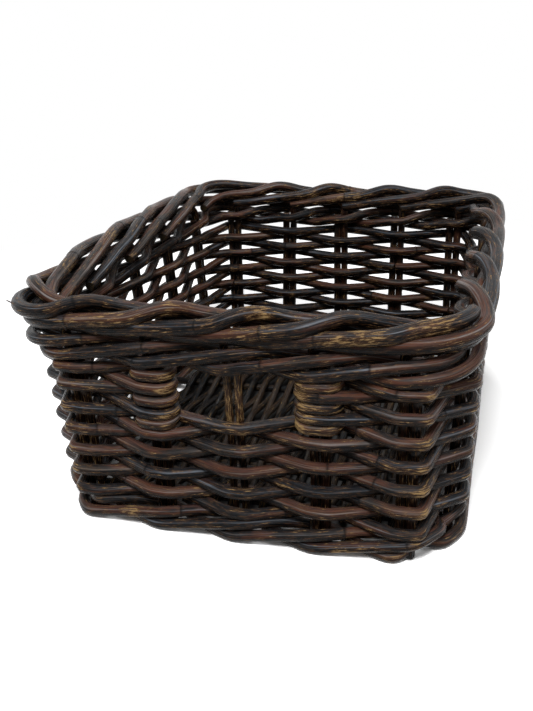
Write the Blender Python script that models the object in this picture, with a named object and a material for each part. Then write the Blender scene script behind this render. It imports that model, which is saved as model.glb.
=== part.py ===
"""Open storage basket of round cane, woven the way a basket maker builds it.

Twenty pairs of upright stakes stand round a flat woven base. A three-rod wale binds their feet, thirteen
rows of single canes are woven in and out of the pairs, a second three-rod wale closes the wall, and one
stake of every pair is turned down over the top and rolled round its neighbours to make the thick border.
The top four rows turn back round two pairs of the front wall and leave a hand hole between them.

Metres, +Z up, front wall towards -Y. The basket stands on z = 0 with its middle at the origin.
"""

import math

import bmesh
import bpy
from mathutils import Matrix, Vector

# Sizes that can be changed.
FOOT_WIDTH = 0.270          # between the stake lines at the floor, left to right
FOOT_DEPTH = 0.350          # between the stake lines at the floor, front to back
CORNER_RADIUS = 0.020       # of the stake line at the floor
WALL_LEAN = 0.009           # how far the stake line leans out by the top of the border
SIDE_BOW = 0.004            # how far the middle of each wall swells out between its corners
CLEARANCE = 0.0003          # left between canes that lie against each other

STAKE = 0.0084              # thickness of an upright cane
WEAVER = 0.0081             # thickness of a cane in the rows
WALE_ROD = 0.0085           # thickness of a cane in the upper band and in the foot
BORDER_ROD = 0.0094         # thickness of a stake's tail where it is rolled into the border
BASE_STICK = 0.0070         # thickness of a cross stick of the base
BASE_WEAVER = 0.0054        # thickness of the cane woven through the base

FRONT_PITCH = 0.0566        # between the stake pairs of the front and back walls
SIDE_PITCH = 0.0700         # between the stake pairs of the left and right walls
BASE_PITCH = 0.0132         # between the runs of the base weaver, at most
BEND_RADIUS = 0.0070        # of a stake's centre line where it turns over into the border
BORDER_REACH = 0.0040       # how far the middle of the border lies outside the stake line
BORDER_SPACE = 0.0008       # left between the strands of the border
BORDER_LIFT = 0.0010        # between the upper band and the border, where the stakes bend out
VERTEX_REACH = 0.0032       # a cane's bend this near to a bend of its wall's corner moves onto it
END_GAP = 0.0010            # between the two ends of a cane where they meet behind a pair
STAKE_FOOT = 0.0012         # height of the stakes' feet above the floor
BASE_FOOT = 0.0015          # height of the base's lowest cane above the floor

PAIRS_PER_SIDE = 5
ROWS = 13
HANDLE_ROWS = 4             # rows from the top that stop either side of the hand hole
HANDLE_PAIRS = (1, 3)       # pairs of the front wall that stand either side of it
WALE_CANES = 3
LAPS = 3
BASE_STICKS = 6
ROD_SIDES = 5
CORNER_FACETS = 3
BORDER_GAPS = 4             # gaps that a border strand runs over while it rounds the others once
BORDER_STEPS = 3            # points on a border strand from one pair to the next
BEND_STEPS = 2
SMOOTH_ANGLE = math.radians(80)

# Shares of the sizes above.
PAIR_TOUCH_SHARE = 0.93     # of a stake's thickness, between the middles of the two stakes of a pair
WALE_RISE_SHARE = 1.42      # of a wale cane's thickness, that a cane climbs while it passes two pairs
ROW_START_SHARES = (0.55, 0.80, 0.30, 0.65, 0.90, 0.45, 0.70, 0.60, 0.85)

SIDE_NAMES = ("front", "right", "back", "left")
PAIRS = PAIRS_PER_SIDE * len(SIDE_NAMES)
UP = Vector((0, 0, 1))

# Heights, from the floor up.
FLAT = math.cos(math.pi / ROD_SIDES)
FOOT_LOW = WALE_ROD / 2 * FLAT
WALE_RISE = (WALE_ROD + CLEARANCE) * WALE_RISE_SHARE
ROW_PITCH = WEAVER + CLEARANCE
LOWEST_ROW = FOOT_LOW + WALE_RISE + WALE_ROD / 2 + CLEARANCE + WEAVER / 2
TOP_ROW = LOWEST_ROW + ROW_PITCH * (ROWS - 1)
BAND_LOW = TOP_ROW + WEAVER / 2 + CLEARANCE + WALE_ROD / 2
BAND_TOP = BAND_LOW + WALE_RISE + WALE_ROD / 2
STRAND_SLOPE = math.atan(math.pi / 2 * BORDER_ROD / (2 * FRONT_PITCH))
ROPE_RADIUS = (BORDER_ROD + BORDER_SPACE) / (
    math.sqrt(2) * math.cos(math.pi / (4 * BORDER_STEPS)) * math.cos(STRAND_SLOPE))
BORDER_LOW = BAND_TOP + BORDER_LIFT + BORDER_ROD / 2
BORDER_MIDDLE = BORDER_LOW + ROPE_RADIUS
TOP = BORDER_MIDDLE + ROPE_RADIUS + BORDER_ROD / 2

# Each run of the base weaver slants by this much, and it rounds an edge stick in four equal turns.
BASE_SLANT = math.atan((BASE_STICK + BASE_WEAVER) / SIDE_PITCH)
BASE_TURN = (math.pi + 2 * BASE_SLANT) / 4

# The stake line, seen from above.
STRAIGHTS = (FOOT_WIDTH / 2 - CORNER_RADIUS, FOOT_DEPTH / 2 - CORNER_RADIUS) * 2
REACHES = (FOOT_DEPTH / 2, FOOT_WIDTH / 2) * 2
PITCHES = (FRONT_PITCH, SIDE_PITCH) * 2
CORNER_ARC = CORNER_RADIUS * math.pi / 2
MIDDLES = tuple(
    sum(STRAIGHTS[n] + CORNER_ARC + STRAIGHTS[(n + 1) % len(STRAIGHTS)] for n in range(side))
    for side in range(len(SIDE_NAMES) + 1))
PERIMETER = MIDDLES[-1]
FACET_TURN = math.pi / 2 / CORNER_FACETS


def pair_place(number):
    """Way along the stake line, from the middle of the front, to a pair or a share of the way between two."""
    lap, inner = divmod(number, PAIRS)
    low = int(inner)
    places = []
    for index in (low, low + 1):
        turn, within = divmod(index, PAIRS)
        side, place = divmod(within, PAIRS_PER_SIDE)
        middle = MIDDLES[side] + turn * PERIMETER
        places.append(middle + (place - (PAIRS_PER_SIDE - 1) / 2) * PITCHES[side])
    return lap * PERIMETER + places[0] + (places[1] - places[0]) * (inner - low)


def wall_point(way, out, height):
    """Point beside the stake line: a way along it, a distance outside it and a height."""
    way = (way + STRAIGHTS[0] + CORNER_ARC / 2) % PERIMETER - STRAIGHTS[0] - CORNER_ARC / 2
    side = 0
    while way > MIDDLES[side] + STRAIGHTS[side] + CORNER_ARC / 2:
        side += 1
    along = way - MIDDLES[side]
    out += WALL_LEAN * height / TOP
    past = abs(along) - STRAIGHTS[side]
    if past <= 0:
        bow = SIDE_BOW * (1 - (along / STRAIGHTS[side]) ** 2)
        point = Vector((along, -REACHES[side] - out - bow, height))
    else:
        angle = past / CORNER_RADIUS
        radius = (CORNER_RADIUS + out) / math.cos(angle - FACET_TURN * round(angle / FACET_TURN))
        centre = Vector((math.copysign(STRAIGHTS[side], along), CORNER_RADIUS - REACHES[side], height))
        point = centre + Vector((math.copysign(math.sin(angle), along), -math.cos(angle), 0)) * radius
    return Matrix.Rotation(side * math.pi / 2, 3, UP) @ point


def corner_bends():
    """Ways along the stake line where its faceted corners bend, over as many laps as a cane can reach."""
    bends = []
    for lap in range(LAPS):
        for middle, straight in zip(MIDDLES, STRAIGHTS):
            for n in range(CORNER_FACETS):
                bends.append(lap * PERIMETER + middle + straight + CORNER_RADIUS * FACET_TURN * (n + 0.5))
    return bends


def follow_wall(controls):
    """World points of a cane given by (way, out, height), which also bends wherever a corner does."""
    bends = corner_bends()
    moved = []
    for way, out, height in controls:
        nearest = min(bends, key=lambda bend: abs(bend - way))
        moved.append((nearest if abs(nearest - way) < VERTEX_REACH else way, out, height))
    points = [wall_point(*moved[0])]
    for (way_a, out_a, height_a), (way_b, out_b, height_b) in zip(moved, moved[1:]):
        between = [bend for bend in bends if min(way_a, way_b) < bend < max(way_a, way_b)]
        for way in between:
            t = (way - way_a) / (way_b - way_a)
            points.append(wall_point(way, out_a + (out_b - out_a) * t, height_a + (height_b - height_a) * t))
        points.append(wall_point(way_b, out_b, height_b))
    return points


def ring_frames(points, side_up):
    """Tangent and up direction at each point, the up direction carried along without twist."""
    frames = []
    up = side_up
    for index, point in enumerate(points):
        ahead = points[min(index + 1, len(points) - 1)] - point
        behind = point - points[max(index - 1, 0)]
        tangent = (ahead.normalized() + behind.normalized()).normalized()
        up = (up - tangent * up.dot(tangent)).normalized()
        frames.append((tangent, up))
    return frames


def cane_mesh(name, points, widths, side_up=UP, level=False):
    """Closed cane along the points. A level cane's sections stand upright, with one flat facing down."""
    mesh = bmesh.new()
    rings = []
    frames = ring_frames(points, side_up)
    for point, width, (tangent, up) in zip(points, widths, frames):
        if level:
            up = UP
        across = tangent.cross(up).normalized()
        ring = []
        for n in range(ROD_SIDES):
            angle = 2 * math.pi * n / ROD_SIDES
            spoke = up * math.cos(angle) + across * math.sin(angle)
            ring.append(mesh.verts.new(point + spoke * width / 2))
        rings.append(ring)
    for ring, following in zip(rings, rings[1:]):
        for n in range(ROD_SIDES):
            after = (n + 1) % ROD_SIDES
            mesh.faces.new((ring[n], ring[after], following[after], following[n]))
    mesh.faces.new(reversed(rings[0]))
    mesh.faces.new(rings[-1])
    bmesh.ops.recalc_face_normals(mesh, faces=mesh.faces)
    data = bpy.data.meshes.new(name)
    mesh.to_mesh(data)
    mesh.free()
    data.shade_smooth()
    data.set_sharp_from_angle(angle=SMOOTH_ANGLE)
    return data


def add_object(name, data, material, parent):
    """Object with its material, under the basket's empty."""
    data.materials.append(material)
    piece = bpy.data.objects.new(name, data)
    piece.parent = parent
    bpy.context.scene.collection.objects.link(piece)
    return piece


def cane_material(name, colour, roughness):
    """Principled material of one kind of cane."""
    material = bpy.data.materials.new(name)
    material.use_nodes = True
    shader = material.node_tree.nodes["Principled BSDF"]
    shader.inputs["Base Color"].default_value = (*colour, 1)
    shader.inputs["Roughness"].default_value = roughness
    shader.inputs["Metallic"].default_value = 0
    return material


def border_point(start, turns):
    """Point of the border strand that began at a pair, so many pairs further on."""
    angle = math.pi / 2 * (turns - 1)
    out = BORDER_REACH + ROPE_RADIUS * math.cos(angle)
    height = BORDER_MIDDLE + ROPE_RADIUS * math.sin(angle)
    return wall_point(pair_place(start + turns), out, height)


def border_turns(start):
    """How many pairs on from its own a border strand bends: thirds of a gap, or a corner's bends."""
    turns = []
    bends = corner_bends()
    for gap in range(BORDER_GAPS):
        low = pair_place(start + gap)
        high = pair_place(start + gap + 1)
        shares = [(bend - low) / (high - low) for bend in bends if low < bend < high]
        if not shares:
            shares = [n / BORDER_STEPS for n in range(1, BORDER_STEPS)]
        turns += [gap + share for share in [0] + shares]
    return turns[1:-1]


def add_stake_pair(number, name, material, parent):
    """Two stakes side by side: one is turned down into the border, the other is cut off below it."""
    way = pair_place(number)
    outward = wall_point(way, WALE_ROD, 0) - wall_point(way, 0, 0)
    along_wall = UP.cross(outward).normalized()
    half = along_wall * STAKE * PAIR_TOUCH_SHARE / 2
    bend_start = BORDER_LOW - BEND_RADIUS
    turned = [wall_point(way, 0, STAKE_FOOT) - half, wall_point(way, 0, bend_start) - half]
    widths = [STAKE, STAKE]
    for n in range(1, BEND_STEPS + 1):
        angle = math.pi / 2 * n / BEND_STEPS
        along = along_wall * BEND_RADIUS * (1 - math.cos(angle))
        height = bend_start + BEND_RADIUS * math.sin(angle)
        turned.append(wall_point(way, BORDER_REACH * math.sin(angle), height) + along - half)
        widths.append(STAKE + (BORDER_ROD - STAKE) * n / BEND_STEPS)
    for turns in border_turns(number):
        turned.append(border_point(number, turns))
        widths.append(BORDER_ROD)
    pair = add_object(name, cane_mesh(name, turned, widths, along_wall), material, parent)
    short = [wall_point(way, 0, STAKE_FOOT + CLEARANCE) + half, wall_point(way, 0, BAND_TOP) + half]
    mate = add_object(name + "_mate", cane_mesh(name + "_mate", short, [STAKE] * 2, -along_wall),
                      material, parent)
    mate.display_type = "WIRE"
    mate.hide_render = True
    join = pair.modifiers.new("join", "BOOLEAN")
    join.operation = "UNION"
    join.object = mate
    return pair


def row_reach():
    """Distance from the stake line to the middle of a weaver that lies against a pair."""
    lean = math.cos(math.atan(WALL_LEAN / TOP))
    return (STAKE + WEAVER) / 2 / lean + CLEARANCE / lean


def pair_half(gap_length, reach):
    """Half the stretch over which a cane runs flat across a pair before it slants to the next."""
    slant = math.atan(2 * reach / gap_length)
    return STAKE * PAIR_TOUCH_SHARE / 2 + reach * math.tan(slant / 2)


def turn_back(way, height, reach, toward, face):
    """Cane wound round a pair at the hand hole, from its cut end to where it sets off along the wall.

    toward is 1 where the wall lies at higher ways than the pair and -1 where it lies at lower ones, and
    face is 1 where the cane sets off outside the pair and -1 where it sets off inside.
    """
    stake = STAKE * PAIR_TOUCH_SHARE / 2
    corner = reach / math.cos(math.pi / 8)
    controls = [(way + toward * (stake + corner * math.sin(math.pi / 8)), -face * reach, height)]
    for eighth in (-3, -1, 1, 3):
        angle = eighth * math.pi / 8
        controls.append((way - toward * (stake + corner * math.cos(angle)),
                         face * corner * math.sin(angle), height))
    return controls


def row_controls(row):
    """Ways, distances and heights of one row's cane, numbered from the top."""
    reach = row_reach()
    height = TOP_ROW - ROW_PITCH * row
    half = pair_half(FRONT_PITCH - STAKE, reach)
    controls = []
    if row < HANDLE_ROWS:
        first = HANDLE_PAIRS[1]
        last = HANDLE_PAIRS[0] + PAIRS
    else:
        start = int(PAIRS * ROW_START_SHARES[(row - HANDLE_ROWS) % len(ROW_START_SHARES)])
        first = start + (start + row + 1) % 2
        last = first + PAIRS
    for number in range(first, last + 1):
        way = pair_place(number)
        face = 1 if (number + row) % 2 == 0 else -1
        before = (way - half, face * reach, height)
        after = (way + half, face * reach, height)
        if row >= HANDLE_ROWS and number == first:
            before = (way + END_GAP / 2, face * reach, height)
        if row >= HANDLE_ROWS and number == last:
            after = (way - END_GAP / 2, face * reach, height)
        if row < HANDLE_ROWS and number == first:
            controls += turn_back(way, height, reach, 1, face)
            controls.append(after)
        elif row < HANDLE_ROWS and number == last:
            controls.append(before)
            controls += reversed(turn_back(way, height, reach, -1, face))
        else:
            controls += [before, after]
    return controls


def wale_controls(cane, low):
    """One of the three canes of a wale: behind one pair, then over two while it climbs."""
    reach = (STAKE + WALE_ROD) / 2 + 2 * CLEARANCE
    half = pair_half(FRONT_PITCH - STAKE, reach)
    high = low + WALE_RISE
    middle = (low + high) / 2
    last = PAIRS + cane + 1 if cane < WALE_CANES - 1 else PAIRS
    controls = []
    for number in range(cane, last + 1):
        way = pair_place(number)
        phase = (number - cane) % WALE_CANES
        if phase == 0:
            start = way + END_GAP / 2 if number == cane else way - half
            end = way - END_GAP / 2 if number == last else way + half
            controls += [(start, -reach, middle), (end, -reach, middle)]
            if number < last:
                controls.append(((way + pair_place(number + 1)) / 2, 0, low))
        elif phase == 1:
            controls.append((way - half, reach, low))
        else:
            controls.append((way + half, reach, high))
            controls.append(((way + pair_place(number + 1)) / 2, 0, high))
    return controls


def base_middle():
    """Height of the middle of the base's cross sticks."""
    return BASE_FOOT + BASE_WEAVER / 2 + base_swing()


def base_swing():
    """How far the base weaver passes above and below the middle of a stick."""
    return ((BASE_STICK + BASE_WEAVER) / 2 + CLEARANCE) / math.cos(BASE_SLANT)


def base_rounding():
    """Distance from an edge stick's middle to the bends of the weaver that rounds it."""
    return base_swing() / math.cos(BASE_TURN / 2)


def wale_inside():
    """Distance from the stake line to the inner face of the foot, on its inner side."""
    return STAKE / 2 + WALE_ROD + 3 * CLEARANCE


def stick_stop():
    """Distance inside the stake line where a stick's end meets the foot's canes."""
    return WALE_ROD / 2 * math.cos(math.pi / (2 * ROD_SIDES))


def stick_rows():
    """Places of the base's cross sticks, front to back, with an edge stick at either end."""
    edge = FOOT_DEPTH / 2 - wale_inside() - BASE_WEAVER / 2 - base_rounding()
    inner = BASE_STICKS - 2
    rows = [(n - (inner - 1) / 2) * SIDE_PITCH for n in range(inner)]
    return [-edge] + rows + [edge]


def add_base_sticks(material, parent):
    """Straight sticks across the base.

    The edge sticks are held by the base weaver alone. The others lie between two pairs of the side walls
    and end against the foot's canes where these pass from the inside of the wall to the outside.
    """
    rows = stick_rows()
    for number, place in enumerate(rows):
        end = FOOT_WIDTH / 2 - wale_inside()
        if 0 < number < len(rows) - 1:
            way = pair_place(PAIRS_PER_SIDE + number - 0.5)
            end = wall_point(way, -stick_stop(), base_middle()).x
        points = [Vector((-end, place, base_middle())), Vector((end, place, base_middle()))]
        name = f"base_stick_{number + 1}"
        add_object(name, cane_mesh(name, points, [BASE_STICK] * 2), material, parent)


def add_base_weaver(material, parent):
    """One long cane that runs to and fro through the sticks and turns round the edge sticks."""
    rows = stick_rows()
    half_width = FOOT_WIDTH / 2 - wale_inside() - BASE_WEAVER / 2
    runs = 2 * math.ceil(half_width / BASE_PITCH) + 1
    pitch = 2 * half_width / (runs - 1)
    middle = base_middle()
    swing = base_swing()
    points = []
    for run in range(runs):
        along = -half_width + pitch * run
        order = rows if run % 2 == 0 else rows[::-1]
        for n, place in enumerate(order):
            index = n if run % 2 == 0 else len(rows) - 1 - n
            side = 1 if (index + run) % 2 == 0 else -1
            if n > 0 or run == 0:
                if n < len(rows) - 1 or run == runs - 1:
                    points.append(Vector((along, place, middle + side * swing)))
        if run < runs - 1:
            outward = math.copysign(base_rounding(), order[-1])
            for quarter in range(4):
                angle = BASE_TURN * (1.5 - quarter)
                points.append(Vector((along + pitch * (quarter + 0.5) / 4,
                                      order[-1] + outward * math.cos(angle),
                                      middle + side * base_rounding() * math.sin(angle))))
    add_object("base_weaver", cane_mesh("base_weaver", points, [BASE_WEAVER] * len(points)), material, parent)


def build_basket():
    """Clear the scene and model every cane of the basket."""
    for piece in list(bpy.data.objects):
        bpy.data.objects.remove(piece, do_unlink=True)
    basket = bpy.data.objects.new("basket", None)
    bpy.context.scene.collection.objects.link(basket)
    stake_finish = cane_material("stake_cane", (0.060, 0.032, 0.020), 0.55)
    weaver_finish = cane_material("weaver_cane", (0.035, 0.022, 0.018), 0.50)
    wale_finish = cane_material("wale_cane", (0.045, 0.030, 0.024), 0.50)
    base_finish = cane_material("base_cane", (0.040, 0.028, 0.022), 0.60)
    for number in range(PAIRS):
        side, place = divmod(number, PAIRS_PER_SIDE)
        add_stake_pair(number, f"stake_pair_{SIDE_NAMES[side]}_{place + 1}", stake_finish, basket)
    for row in range(ROWS):
        name = f"handle_row_{row + 1}" if row < HANDLE_ROWS else f"full_row_{row + 1:02d}"
        points = follow_wall(row_controls(row))
        add_object(name, cane_mesh(name, points, [WEAVER] * len(points), level=True), weaver_finish, basket)
    for title, low in (("upper_wale", BAND_LOW), ("foot_wale", FOOT_LOW)):
        for cane in range(WALE_CANES):
            name = f"{title}_{cane + 1}"
            points = follow_wall(wale_controls(cane, low))
            add_object(name, cane_mesh(name, points, [WALE_ROD] * len(points), level=True), wale_finish, basket)
    add_base_sticks(base_finish, basket)
    add_base_weaver(base_finish, basket)


build_basket()
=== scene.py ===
"""Dressed look of the round-cane storage basket: every cane is round, jointed, worn and stained.

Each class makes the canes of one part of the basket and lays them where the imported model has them. A cane
starts as a straight blank cut into rings, and is then bent along its own line round the wall.
"""

import logging
import math
import random
from dataclasses import dataclass
from enum import Enum
from functools import cached_property

import bmesh
import bpy
import numpy as np
from mathutils import Matrix, Vector


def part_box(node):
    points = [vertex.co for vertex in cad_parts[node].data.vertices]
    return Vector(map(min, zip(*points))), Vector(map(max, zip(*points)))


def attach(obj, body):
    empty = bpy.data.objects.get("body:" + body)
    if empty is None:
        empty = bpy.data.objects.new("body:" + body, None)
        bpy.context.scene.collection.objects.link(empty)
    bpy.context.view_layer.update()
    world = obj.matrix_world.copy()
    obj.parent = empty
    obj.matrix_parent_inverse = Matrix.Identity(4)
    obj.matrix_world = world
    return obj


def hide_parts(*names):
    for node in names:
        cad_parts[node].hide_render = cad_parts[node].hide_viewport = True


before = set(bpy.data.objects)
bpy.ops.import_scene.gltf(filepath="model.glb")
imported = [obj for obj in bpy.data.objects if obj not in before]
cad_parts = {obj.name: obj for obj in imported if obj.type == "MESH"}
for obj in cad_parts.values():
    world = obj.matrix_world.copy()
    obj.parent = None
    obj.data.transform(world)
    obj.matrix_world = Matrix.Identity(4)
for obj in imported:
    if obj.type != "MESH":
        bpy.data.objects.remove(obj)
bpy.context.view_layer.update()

log = logging.getLogger("basket")
Socket = bpy.types.NodeSocket
Colour = tuple[float, float, float]
Control = tuple[float, float, float]

# Distance from one point of a cane's line to the next, and the unit of the tables of small measures.
LINE_STEP = 0.001
TENTH = 0.0001
SHARP_ANGLE = math.radians(62)
SURFACE_LAYERS = ("cane_joint", "cane_worn", "cane_cut", "cane_tone")


class Side(Enum):
    """Walls of the basket in the order in which the pairs are counted."""

    FRONT = 0
    RIGHT = 1
    BACK = 2
    LEFT = 3


@dataclass(frozen=True)
class BasketSizes:
    """Sizes of the basket, in metres. They are those of the solids."""

    foot_width: float = 0.270
    foot_depth: float = 0.350
    corner_radius: float = 0.020
    wall_lean: float = 0.009
    side_bow: float = 0.004
    clearance: float = 0.0003
    stake: float = 0.0084
    weaver: float = 0.0081
    wale_rod: float = 0.0085
    border_rod: float = 0.0094
    base_stick: float = 0.0070
    base_weaver: float = 0.0059
    front_pitch: float = 0.0566
    side_pitch: float = 0.0700
    base_pitch: float = 0.0061
    bend_radius: float = 0.0070
    border_reach: float = 0.0040
    border_space: float = 0.0008
    end_gap: float = 0.0010
    stake_foot: float = 0.0012
    base_foot: float = 0.0015
    pair_touch_share: float = 0.86
    wale_rise_share: float = 1.42
    round_foot_share: float = 1.06
    solid_sides: int = 5
    rope_chords: int = 12
    pairs_per_side: int = 5
    rows: int = 13
    handle_rows: int = 4
    handle_pairs: tuple[int, int] = (1, 3)
    wale_canes: int = 3
    base_sticks: int = 6
    row_start_shares: tuple[float, ...] = (0.55, 0.80, 0.30, 0.65, 0.90, 0.45, 0.70, 0.60, 0.85)

    @property
    def pairs(self) -> int:
        """Stake pairs round the whole basket."""
        return self.pairs_per_side * len(Side)

    @property
    def pair_half(self) -> float:
        """Distance from the middle of a pair to the middle of each of its canes."""
        return self.stake * self.pair_touch_share / 2

    @property
    def foot_low(self) -> float:
        """Height of the lowest centre line of the solids' foot."""
        return self.wale_rod / 2 * math.cos(math.pi / self.solid_sides)

    @property
    def round_foot_low(self) -> float:
        """Height of the lowest centre line of a foot of round canes."""
        return self.wale_rod / 2 * self.round_foot_share

    @property
    def wale_rise(self) -> float:
        """How far a wale cane climbs while it passes two pairs."""
        return (self.wale_rod + self.clearance) * self.wale_rise_share

    @property
    def row_pitch(self) -> float:
        """Height from one row to the next."""
        return self.weaver + self.clearance

    @property
    def top_row(self) -> float:
        """Height of the highest row's centre line."""
        lowest = self.foot_low + self.wale_rise + self.wale_rod / 2 + self.clearance + self.weaver / 2
        return lowest + self.row_pitch * (self.rows - 1)

    @property
    def band_low(self) -> float:
        """Height of the lowest centre line of the upper band."""
        return self.top_row + self.weaver / 2 + self.clearance + self.wale_rod / 2

    @property
    def band_top(self) -> float:
        """Height of the top of the upper band."""
        return self.band_low + self.wale_rise + self.wale_rod / 2

    @property
    def rope_radius(self) -> float:
        """Distance from the middle of the border to the centre line of a strand."""
        slope = math.atan(math.pi / 2 * self.border_rod / (2 * self.front_pitch))
        return (self.border_rod + self.border_space) / (
            math.sqrt(2) * math.cos(math.pi / self.rope_chords) * math.cos(slope))

    @property
    def border_low(self) -> float:
        """Height of the centre line of a border strand where it lies lowest."""
        return self.band_top + self.border_rod / 2

    @property
    def border_middle(self) -> float:
        """Height of the middle of the border."""
        return self.border_low + self.rope_radius

    @cached_property
    def top(self) -> float:
        """Height of the top of the border."""
        return self.border_middle + self.rope_radius + self.border_rod / 2

    def flat_half(self, reach: float) -> float:
        """Half the stretch on which a cane that passes at a reach lies level with the wall across a pair."""
        slant = math.atan(2 * reach / (self.front_pitch - self.stake))
        return self.pair_half + reach * math.tan(slant / 2)


# For each pair, in tenths of a millimetre: how far the top of the wall strays along itself, how far the border
# strays up, and how far the top and the foot of the wall stray out.
STRAYS = (
    (10, 5, 10, -40), (35, 0, 0, -22), (10, -4, 0, 0), (20, 6, 0, 18), (18, 0, 6, 50),
    (4, 4, 0, 24), (-10, -6, -14, 0), (8, 3, -20, 0), (-6, -10, -16, 0), (0, -26, -6, 0),
    (8, -44, 0, 0), (-12, -48, 6, 0), (6, -52, 0, 0), (-30, -46, -4, 0), (8, -36, 0, 0),
    (-24, -22, 0, 0), (10, -12, 8, 0), (20, 2, 22, 0), (42, -8, 42, 0), (50, -4, 56, 18))


@dataclass(frozen=True)
class WallLine:
    """Line of the stakes seen from above: way along it, distance outside it, and height."""

    sizes: BasketSizes

    @cached_property
    def straights(self) -> tuple[float, ...]:
        """Half the straight part of each wall."""
        size = self.sizes
        return (size.foot_width / 2 - size.corner_radius, size.foot_depth / 2 - size.corner_radius) * 2

    @property
    def corner_arc(self) -> float:
        """Length of the line round one corner."""
        return self.sizes.corner_radius * math.pi / 2

    @cached_property
    def middles(self) -> list[float]:
        """Way to the middle of each wall, and once round."""
        total = [0.0]
        for number in range(len(Side)):
            step = self.straights[number] + self.corner_arc + self.straights[(number + 1) % len(Side)]
            total.append(total[-1] + step)
        return total

    @cached_property
    def stray_marks(self) -> tuple[np.ndarray, np.ndarray]:
        """Ways of the pairs from the last to the first again, and the four strays at each."""
        places = [self.pair_place(number) for number in range(-1, self.sizes.pairs + 1)]
        return np.array(places), np.array((STRAYS[-1], *STRAYS, STRAYS[0])) * TENTH

    def pair_place(self, number: float) -> float:
        """Way to a stake pair, or to a share of the way between two.

        Args:
            number: Pair counted from the front wall's left end, whole or between two.

        Returns:
            Way along the line from the middle of the front wall.
        """
        size = self.sizes
        middles = self.middles
        lap, inner = divmod(number, size.pairs)
        low = int(inner)
        places = []
        for index in (low, low + 1):
            turn, within = divmod(index, size.pairs)
            side, place = divmod(within, size.pairs_per_side)
            pitch = (size.front_pitch, size.side_pitch)[side % 2]
            along = (place - (size.pairs_per_side - 1) / 2) * pitch
            places.append(middles[side] + turn * middles[-1] + along)
        return lap * middles[-1] + places[0] + (places[1] - places[0]) * (inner - low)

    def point(self, way: float, out: float, height: float) -> Vector:
        """World point beside the line, with the wall's strays in it.

        Args:
            way: Distance along the line from the middle of the front wall.
            out: Distance outside the line.
            height: Height above the floor.

        Returns:
            The point, in metres.
        """
        size = self.sizes
        straights = self.straights
        middles = self.middles
        places, marks = self.stray_marks
        near = (way - places[0]) % middles[-1] + places[0]
        along_stray, up_stray, out_stray, foot_stray = (
            float(np.interp(near, places, column)) for column in marks.T)
        share = max(0.0, height / size.top)
        way += along_stray * share
        out += out_stray * share + foot_stray * max(0.0, 1 - share)
        height += up_stray * share ** 3
        start = straights[0] + self.corner_arc / 2
        way = (way + start) % middles[-1] - start
        side = 0
        while way > middles[side] + straights[side] + self.corner_arc / 2:
            side += 1
        along = way - middles[side]
        reach = (size.foot_depth / 2, size.foot_width / 2)[side % 2]
        out += size.wall_lean * height / size.top
        past = abs(along) - straights[side]
        if past <= 0:
            bow = size.side_bow * (1 - (along / straights[side]) ** 2)
            spot = Vector((along, -reach - out - bow, height))
        else:
            angle = past / size.corner_radius
            radius = size.corner_radius + out
            centre = Vector((math.copysign(straights[side], along), size.corner_radius - reach, height))
            spot = centre + Vector((math.copysign(math.sin(angle), along), -math.cos(angle), 0)) * radius
        return Matrix.Rotation(side * math.pi / 2, 3, "Z") @ spot

    def points(self, controls: list[Control] | np.ndarray) -> list[Vector]:
        """World points of ways, distances outside the line and heights."""
        return [self.point(*control) for control in controls]

    def outward(self, way: float) -> Vector:
        """Level direction out of the basket at a way."""
        return (self.point(way, self.sizes.wale_rod, 0) - self.point(way, 0, 0)).normalized()

    def along(self, way: float) -> Vector:
        """Level direction along the wall at a way."""
        return Vector((0, 0, 1)).cross(self.outward(way))

    def half_pair(self, way: float) -> Vector:
        """Step from the middle of a pair to the middle of its later cane."""
        return self.along(way) * self.sizes.stake * self.sizes.pair_touch_share / 2


def distances(points: np.ndarray) -> np.ndarray:
    """Distance of each point of a line from its start."""
    return np.concatenate(([0.0], np.cumsum(np.linalg.norm(np.diff(points, axis=0), axis=1))))


def evenly(corners: list | np.ndarray) -> np.ndarray:
    """Points at even distances along a broken line.

    Args:
        corners: Corners of the line.

    Returns:
        The new points, one to a row, with both ends kept.
    """
    points = np.array([tuple(corner) for corner in corners], float)
    lengths = np.linalg.norm(np.diff(points, axis=0), axis=1)
    points = points[np.concatenate(([True], lengths > 1e-9))]
    along = distances(points)
    places = np.linspace(0, along[-1], max(4, int(round(along[-1] / LINE_STEP)) + 1))
    return np.stack([np.interp(places, along, column) for column in points.T], axis=1)


def rounded(corners: list | np.ndarray, reach: float) -> np.ndarray:
    """Bend a line's corners round, as stiff cane does.

    Args:
        corners: Evenly spaced points.
        reach: How far either side of a corner the bend begins.

    Returns:
        As many points, one to a row, with both ends kept.
    """
    points = np.array([tuple(corner) for corner in corners], float)
    half = min(max(1, int(round(reach / LINE_STEP))), len(points) - 1)
    kernel = np.concatenate((np.arange(1, half + 2), np.arange(half, 0, -1))).astype(float)
    kernel /= kernel.sum()
    before = 2 * points[0] - points[half:0:-1]
    after = 2 * points[-1] - points[-2:-half - 2:-1]
    padded = np.concatenate((before, points, after))
    return np.stack([np.convolve(column, kernel, "valid") for column in padded.T], axis=1)


def smooth(share: np.ndarray) -> np.ndarray:
    """Share held between 0 and 1, with soft ends."""
    held = np.clip(share, 0, 1)
    return held * held * (3 - 2 * held)


def bell(stations: np.ndarray, place: float, half: float) -> np.ndarray:
    """Value that is 1 at a place along a cane and falls off on either side of it."""
    return np.exp(-((stations - place) / half) ** 2)


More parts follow.
